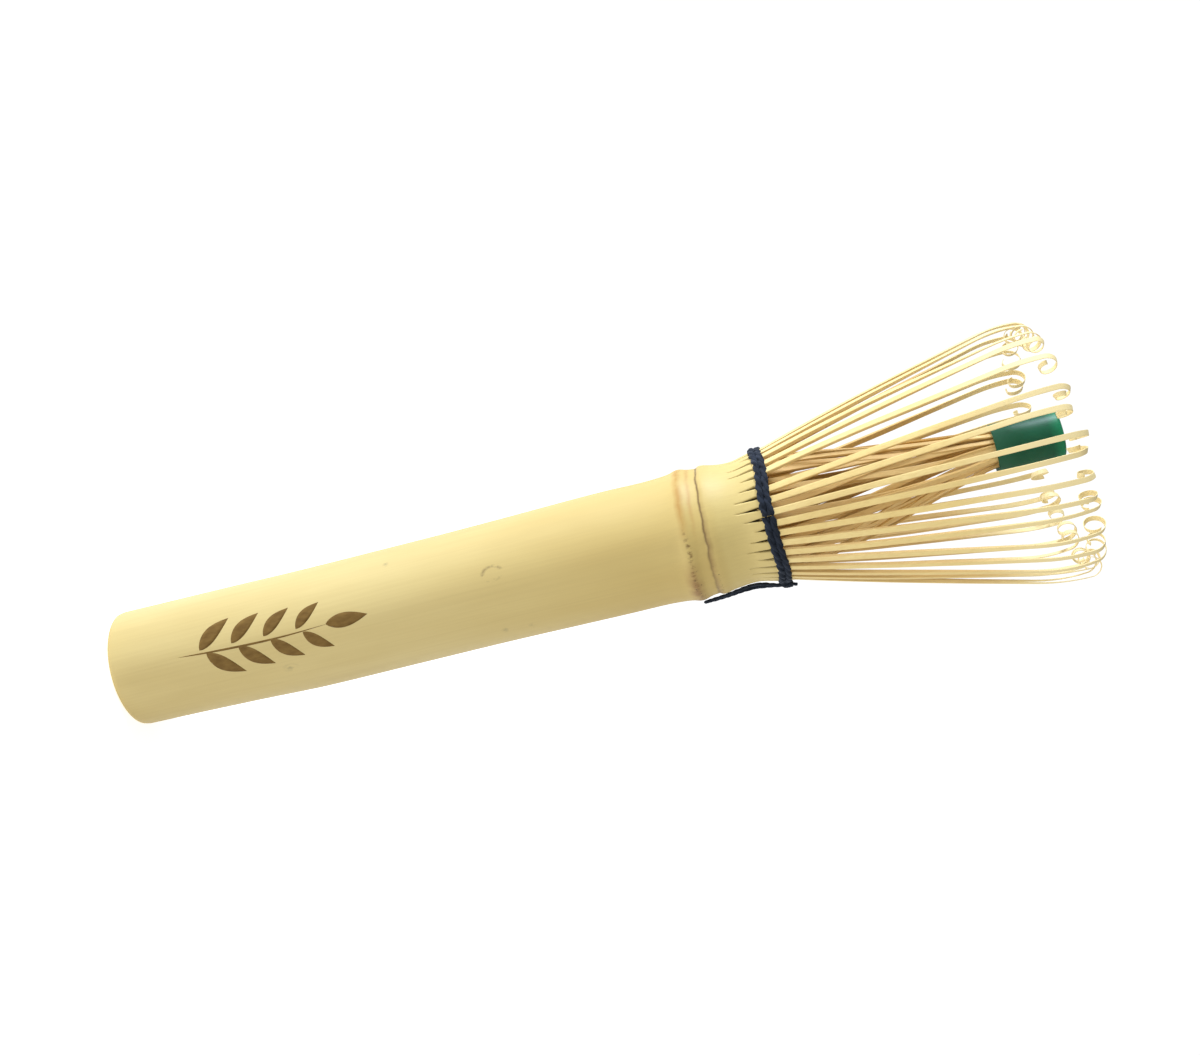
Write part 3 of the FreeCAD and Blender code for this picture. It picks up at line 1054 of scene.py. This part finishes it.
def make_course(name, node, middle, first_phase):
    """Two yarns twined round each other, with one twist for each tine that they bind."""
    sweep = Sweep()
    ring_radius = (node_box(node)[1].x - node_box(node)[0].x) / 2 - YARN_RADIUS
    steps = TINE_SLOTS * STEPS_PER_PITCH
    for strand in range(2):
        path = []
        for k in range(steps):
            angle = FULL_TURN * k / steps
            twist = (angle - FIRST_ANGLE) / PITCH * math.pi + math.pi * strand + first_phase
            over_tine = math.cos((angle - FIRST_ANGLE) / PITCH * FULL_TURN)
            radius = ring_radius + BULGE_OVER_TINE * over_tine + TWINE_OUT * math.cos(twist)
            wobble = -0.2 * math.cos(4 * angle) + 0.08 * math.sin(7 * angle + 1.0)
            z = middle + TWINE_UP * math.sin(twist) + wobble
            path.append(outwards(angle) * radius + Vector((0, 0, z)))
        sweep.add(yarn_rings(path, YARN_RADIUS, closed=True))
    course = sweep.piece(name, [YARN], "handle")
    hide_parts(node)


def make_knot():
    """A small overhand knot where the two ends meet, with a short cut end."""
    centre = (KNOT_LOW + KNOT_HIGH) / 2
    size = KNOT_SHARE * (KNOT_HIGH.y - KNOT_LOW.y) / 2
    steps = 72
    knot_path = []
    for k in range(steps):
        t = FULL_TURN * k / steps
        around = (math.sin(t) + 2 * math.sin(2 * t)) / 3
        upward = (math.cos(t) - 2 * math.cos(2 * t)) / 3
        depth = -math.sin(3 * t)
        knot_path.append(centre + Vector((KNOT_DEPTH * depth, size * around, size * upward)))
    end_path = []
    steps = 10
    for k in range(steps + 1):
        t = k / steps
        end_path.append(centre + Vector((0.05 + 0.3 * t, -0.1 - 0.4 * t, 0.4 + 1.2 * t)))
    sweep = Sweep()
    sweep.add(yarn_rings(knot_path, YARN_RADIUS * 0.9, closed=True))
    sweep.add(yarn_rings(end_path, YARN_RADIUS * 0.7))
    knot = sweep.piece("knot", [YARN], "handle")
    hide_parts("thread_knot")


make_course("binding_lower", "binding_thread_lower", BINDING_Z - COURSE_GAP / 2, 0.0)
make_course("binding_upper", "binding_thread_upper", BINDING_Z + COURSE_GAP / 2, math.pi / 2)
make_knot()


# ---- a burned mark: a plain sprig of leaves ----

SPRIG_FOOT_Z = 14.0
SPRIG_TOP_Z = 52.0
SPRIG_ANGLE = math.radians(-2)
SPRIG_RADIUS = CULM_SIDE[3][1]
STEM_WIDTH = 0.42
STEM_SHARE = 0.8            # of the sprig's length, and the top leaf covers the rest
STEM_BOW = 0.5
LEAF_LENGTH = 8.2
LEAF_WIDTH = 2.75
LEAF_SPREAD = math.radians(38)
LEAF_BOW = 0.35
LEAF_PAIRS = 4
FIRST_PAIR = 0.12           # where the lowest pair grows, as a share of the sprig's length
PAIR_GAP = 0.17             # from one pair to the next, likewise
PAIR_SHRINK = 0.07
PAIR_STAGGER = 1.2          # one leaf of a pair grows this much higher
LEAF_FOOT = 0.45            # from the stem's middle
MARK_RAISE = 0.015
MARK_SINK = 0.06


def on_culm(along, across, raise_by):
    """A point on the culm's side, along it from its foot and across from the sprig's middle."""
    angle = SPRIG_ANGLE + across / SPRIG_RADIUS
    return culm_point(along, angle, -raise_by)


def add_blade(sweep_points, sweep_faces, start, direction, length, width, bow=0.0):
    """A leaf-shaped plate, as thin as a burn is deep, that follows the culm's side."""
    steps = 22
    columns = 5
    first = len(sweep_points)
    heading = Vector((math.cos(direction), math.sin(direction)))
    normal = Vector((-heading.y, heading.x))
    for level in (MARK_RAISE, -MARK_SINK):
        for k in range(steps + 1):
            share = k / steps
            half = width / 2 * max(0.02, math.sin(math.pi * share ** 0.8)) ** 0.9
            middle = Vector(start) + heading * (length * share) + normal * (bow * math.sin(math.pi * share))
            for c in range(columns):
                place = middle + normal * (half * (2 * c / (columns - 1) - 1))
                sweep_points.append(on_culm(place.x, place.y, level))
    layer = (steps + 1) * columns

    def at(level, k, c):
        return first + level * layer + k * columns + c

    for k in range(steps):
        for c in range(columns - 1):
            sweep_faces.append((at(0, k, c), at(0, k, c + 1), at(0, k + 1, c + 1), at(0, k + 1, c)))
            sweep_faces.append((at(1, k, c), at(1, k + 1, c), at(1, k + 1, c + 1), at(1, k, c + 1)))
        for c in (0, columns - 1):
            side = (at(0, k, c), at(0, k + 1, c), at(1, k + 1, c), at(1, k, c))
            sweep_faces.append(side if c == 0 else side[::-1])
    for c in range(columns - 1):
        sweep_faces.append((at(0, 0, c), at(1, 0, c), at(1, 0, c + 1), at(0, 0, c + 1)))
        sweep_faces.append((at(0, steps, c), at(0, steps, c + 1), at(1, steps, c + 1), at(1, steps, c)))


def make_mark():
    points, faces = [], []
    sprig = SPRIG_TOP_Z - SPRIG_FOOT_Z
    add_blade(points, faces, (SPRIG_FOOT_Z, 0.0), 0.0, sprig * STEM_SHARE, STEM_WIDTH, bow=STEM_BOW)
    add_blade(points, faces, (SPRIG_TOP_Z - LEAF_LENGTH, 0.0), 0.0, LEAF_LENGTH, LEAF_WIDTH)
    for pair in range(LEAF_PAIRS):
        start = SPRIG_FOOT_Z + sprig * (FIRST_PAIR + PAIR_GAP * pair)
        size = 1.0 - PAIR_SHRINK * pair
        for side in (-1, 1):
            foot = (start + PAIR_STAGGER * (side > 0), side * LEAF_FOOT)
            add_blade(points, faces, foot, side * LEAF_SPREAD,
                      LEAF_LENGTH * size, LEAF_WIDTH * size, bow=side * LEAF_BOW)
    mark = new_piece("burned_sprig", points, faces, [BURNED], "handle")


make_mark()


bpy.context.view_layer.update()
